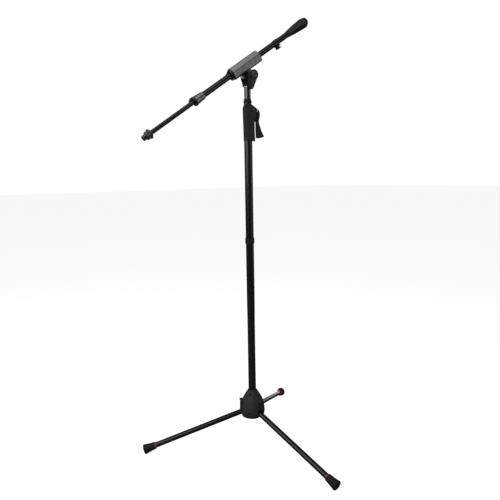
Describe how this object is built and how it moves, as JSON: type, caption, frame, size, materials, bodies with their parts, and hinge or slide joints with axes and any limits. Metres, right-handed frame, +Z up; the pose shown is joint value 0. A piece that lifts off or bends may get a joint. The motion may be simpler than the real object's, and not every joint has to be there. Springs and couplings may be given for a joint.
{
  "type": "boom microphone stand",
  "caption": "Tripod microphone stand with a one-hand height clutch, a swivelling and tilting boom clamp, a telescoping boom and a tapered counterweight.",
  "frame": {"origin": "point on the floor under the mast's axis", "axes": "+Z up along the mast; the boom lies in the XZ plane at rest, with its microphone end towards -X"},
  "size_m": [0.6439, 0.5825, 1.3762],
  "materials": {
    "black_steel": "semi-gloss powder coat",
    "hub_plastic": "moulded, fine texture",
    "soft_grip": "soft-touch, matte",
    "black_plastic": "moulded, satin",
    "satin_aluminium": "grey anodised, satin",
    "steel": "brushed",
    "dark_steel": "black oxide",
    "bush_plastic": "natural acetal",
    "foot_rubber": "matte rubber",
    "red_trim": "moulded red",
    "cast_slug": "as cast",
    "spring_steel": "drawn wire"
  },
  "bodies": {
    "mast": {"lower_tube": "black_steel", "mast_plug": "hub_plastic", "clutch_base": "bush_plastic", "clutch_head": "black_plastic", "clutch_spring": "spring_steel", "grip_shell_left": "soft_grip", "grip_shell_right": "soft_grip", "grip_screws": "dark_steel", "trigger_pin": "steel", "wiper_seal": "foot_rubber"},
    "hub": {"hub_body": "hub_plastic", "hub_cap": "hub_plastic", "hub_bush": "bush_plastic", "hub_screws": "dark_steel", "friction_ring": "spring_steel", "leg_pins": "dark_steel"},
    "leg_a": {"leg_a_knuckle": "black_plastic", "leg_a_tube": "black_steel", "leg_a_ring": "red_trim", "leg_a_foot": "foot_rubber"},
    "leg_b": {"leg_b_knuckle": "black_plastic", "leg_b_tube": "black_steel", "leg_b_ring": "red_trim", "leg_b_foot": "foot_rubber"},
    "leg_c": {"leg_c_knuckle": "black_plastic", "leg_c_tube": "black_steel", "leg_c_ring": "red_trim", "leg_c_foot": "foot_rubber"},
    "mast_clip": {"mast_clip": "black_plastic"},
    "trigger": {"trigger": "soft_grip"},
    "clutch_plates": {"clutch_plates": "steel"},
    "upper_mast": {"upper_tube": "black_steel", "upper_glide": "bush_plastic", "upper_stud": "steel"},
    "swivel": {"swivel_socket": "black_plastic", "swivel_washer": "steel", "pivot_bolt": "dark_steel", "tilt_washer": "black_plastic"},
    "tilt_lever": {"tilt_lever": "black_plastic", "lever_cap": "black_plastic"},
    "boom_clamp": {"clamp_block": "satin_aluminium", "clamp_front_bush": "black_plastic", "clamp_rear_bush": "black_plastic", "clamp_side_screw": "steel", "friction_discs": "black_plastic"},
    "clamp_knob": {"clamp_knob": "black_plastic", "clamp_knob_screw": "steel"},
    "boom": {"boom_tube": "black_steel", "lock_sleeve": "satin_aluminium", "lock_ring": "black_plastic", "counterweight_casing": "black_plastic", "counterweight_slug": "cast_slug", "counterweight_cap": "black_plastic"},
    "boom_clip": {"boom_clip": "black_plastic"},
    "lock_knob": {"lock_knob": "black_plastic", "lock_knob_screw": "steel"},
    "inner_boom": {"inner_tube": "black_steel", "inner_glide": "bush_plastic", "tip_stud": "dark_steel"},
    "lock_nut": {"lock_nut": "dark_steel"}
  },
  "joints": [
    {"name": "hub_slide", "type": "slide", "parent": "mast", "child": "hub", "axis": [0, 0, 1], "range_m": [0, 0.28]},
    {"name": "leg_a_fold", "type": "hinge", "parent": "hub", "child": "leg_a", "pos_m": [0.01942, 0.01411, 0.113], "axis": [-0.5878, 0.809, 0], "range_deg": [0, 68.4]},
    {"name": "leg_b_fold", "type": "hinge", "parent": "hub", "child": "leg_b", "pos_m": [-0.02193, 0.00976, 0.113], "axis": [-0.4067, -0.9135, 0], "range_deg": [0, 68.4]},
    {"name": "leg_c_fold", "type": "hinge", "parent": "hub", "child": "leg_c", "pos_m": [0.00251, -0.02387, 0.113], "axis": [0.9945, 0.1045, 0], "range_deg": [0, 68.4]},
    {"name": "mast_clip_slide", "type": "slide", "parent": "mast", "child": "mast_clip", "axis": [0, 0, 1], "range_m": [-0.18, 0.28]},
    {"name": "trigger_squeeze", "type": "hinge", "parent": "mast", "child": "trigger", "pos_m": [0.02048, -0.01434, 1.064], "axis": [0.5736, 0.8192, 0], "range_deg": [0, 7], "stiffness_Nm_per_rad": 8, "springref_deg": -2.29},
    {"name": "plates_tilt", "type": "hinge", "parent": "mast", "child": "clutch_plates", "pos_m": [-0.00991, 0.00694, 1.0516], "axis": [-0.5736, -0.8192, 0], "range_deg": [0, 2.6], "deforming": ["clutch_spring"]},
    {"name": "height_slide", "type": "slide", "parent": "mast", "child": "upper_mast", "axis": [0, 0, 1], "range_m": [-0.03, 0.62]},
    {"name": "swivel_turn", "type": "hinge", "parent": "upper_mast", "child": "swivel", "pos_m": [0, 0, 1.15], "axis": [0, 0, 1], "continuous": true},
    {"name": "boom_tilt", "type": "hinge", "parent": "swivel", "child": "boom_clamp", "pos_m": [0, 0, 1.175], "axis": [0, 1, 0], "range_deg": [-38, 104]},
    {"name": "tilt_lever_turn", "type": "hinge", "parent": "swivel", "child": "tilt_lever", "pos_m": [0, 0, 1.175], "axis": [0, 1, 0], "continuous": true},
    {"name": "clamp_knob_turn", "type": "hinge", "parent": "boom_clamp", "child": "clamp_knob", "pos_m": [-0.04689, 0.02, 1.18024], "axis": [0, 1, 0], "continuous": true},
    {"name": "boom_slide", "type": "slide", "parent": "boom_clamp", "child": "boom", "axis": [-0.83, 0, -0.5577], "range_m": [-0.09, 0.045]},
    {"name": "boom_clip_slide", "type": "slide", "parent": "boom", "child": "boom_clip", "axis": [-0.83, 0, -0.5577], "range_m": [-0.045, 0.02]},
    {"name": "lock_knob_turn", "type": "hinge", "parent": "boom", "child": "lock_knob", "pos_m": [-0.17596, 0.02, 1.09351], "axis": [0, 1, 0], "continuous": true},
    {"name": "telescope_slide", "type": "slide", "parent": "boom", "child": "inner_boom", "axis": [-0.83, 0, -0.5577], "range_m": [-0.145, 0.19]},
    {"name": "lock_nut_turn", "type": "hinge", "parent": "inner_boom", "child": "lock_nut", "pos_m": [-0.32578, 0, 0.99283], "axis": [-0.83, 0, -0.5577], "continuous": true}
  ],
  "couplings": [
    {"joint": "leg_a_fold", "follows": "hub_slide", "rad_per_m": 4.2636},
    {"joint": "leg_b_fold", "follows": "hub_slide", "rad_per_m": 4.2636},
    {"joint": "leg_c_fold", "follows": "hub_slide", "rad_per_m": 4.2636},
    {"joint": "plates_tilt", "follows": "trigger_squeeze", "ratio": 0.3571}
  ]
}
